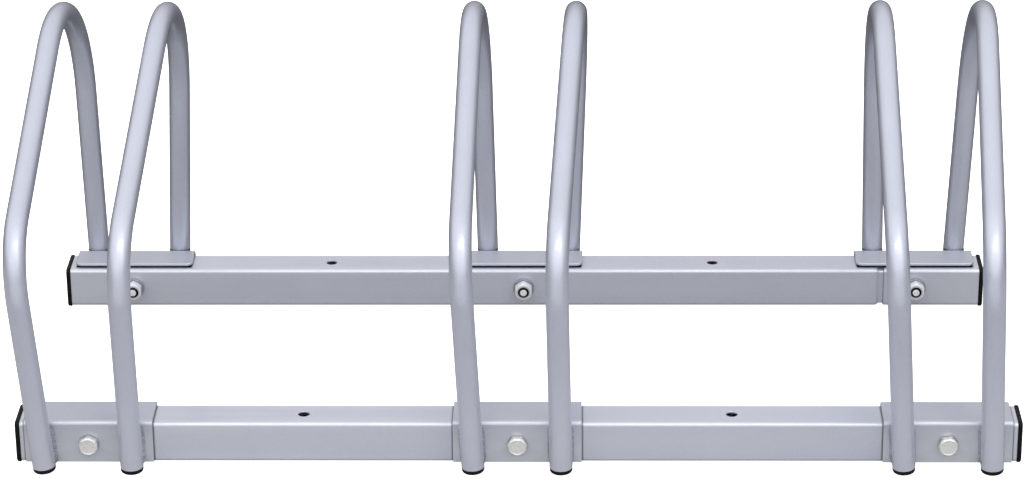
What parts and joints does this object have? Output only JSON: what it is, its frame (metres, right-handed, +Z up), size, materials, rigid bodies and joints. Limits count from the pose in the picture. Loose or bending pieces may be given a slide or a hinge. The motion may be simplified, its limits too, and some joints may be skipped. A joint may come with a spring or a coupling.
{
  "type": "floor bike rack",
  "caption": "Low floor bike rack: two square steel bars joined by pairs of splayed bent-tube hoops that hold bicycle wheels, bolted at folded brackets.",
  "frame": {"origin": "on the floor under the middle of the rack", "axes": "+X along the bars to the right, +Y from the front bar to the rear bar, +Z up"},
  "size_m": [0.705, 0.33, 0.2627],
  "materials": {
    "silver_coat": "satin silver-grey metallic coat",
    "zinc_plate": "bright zinc plating",
    "black_plastic": "moulded black plastic, slightly satin"
  },
  "bodies": {
    "root": {"front_bar_long": "silver_coat", "front_bar_short": "silver_coat", "front_bar_plug_left": "black_plastic", "front_bar_plug_right": "black_plastic", "rear_bar_long": "silver_coat", "rear_bar_short": "silver_coat", "rear_bar_plug_left": "black_plastic", "rear_bar_plug_right": "black_plastic", "front_saddle_1": "silver_coat", "rear_plate_1": "silver_coat", "hoop_1a": "silver_coat", "front_foot_1a": "black_plastic", "rear_foot_1a": "black_plastic", "hoop_1b": "silver_coat", "front_foot_1b": "black_plastic", "rear_foot_1b": "black_plastic", "front_bolt_1": "zinc_plate", "front_washer_1": "zinc_plate", "front_nut_1": "zinc_plate", "rear_bolt_1": "zinc_plate", "rear_washer_1": "zinc_plate", "rear_nut_1": "zinc_plate", "front_saddle_2": "silver_coat", "rear_plate_2": "silver_coat", "hoop_2a": "silver_coat", "front_foot_2a": "black_plastic", "rear_foot_2a": "black_plastic", "hoop_2b": "silver_coat", "front_foot_2b": "black_plastic", "rear_foot_2b": "black_plastic", "front_bolt_2": "zinc_plate", "front_washer_2": "zinc_plate", "front_nut_2": "zinc_plate", "rear_bolt_2": "zinc_plate", "rear_washer_2": "zinc_plate", "rear_nut_2": "zinc_plate", "front_saddle_3": "silver_coat", "rear_plate_3": "silver_coat", "hoop_3a": "silver_coat", "front_foot_3a": "black_plastic", "rear_foot_3a": "black_plastic", "hoop_3b": "silver_coat", "front_foot_3b": "black_plastic", "rear_foot_3b": "black_plastic", "front_bolt_3": "zinc_plate", "front_washer_3": "zinc_plate", "front_nut_3": "zinc_plate", "rear_bolt_3": "zinc_plate", "rear_washer_3": "zinc_plate", "rear_nut_3": "zinc_plate"}
  },
  "joints": []
}
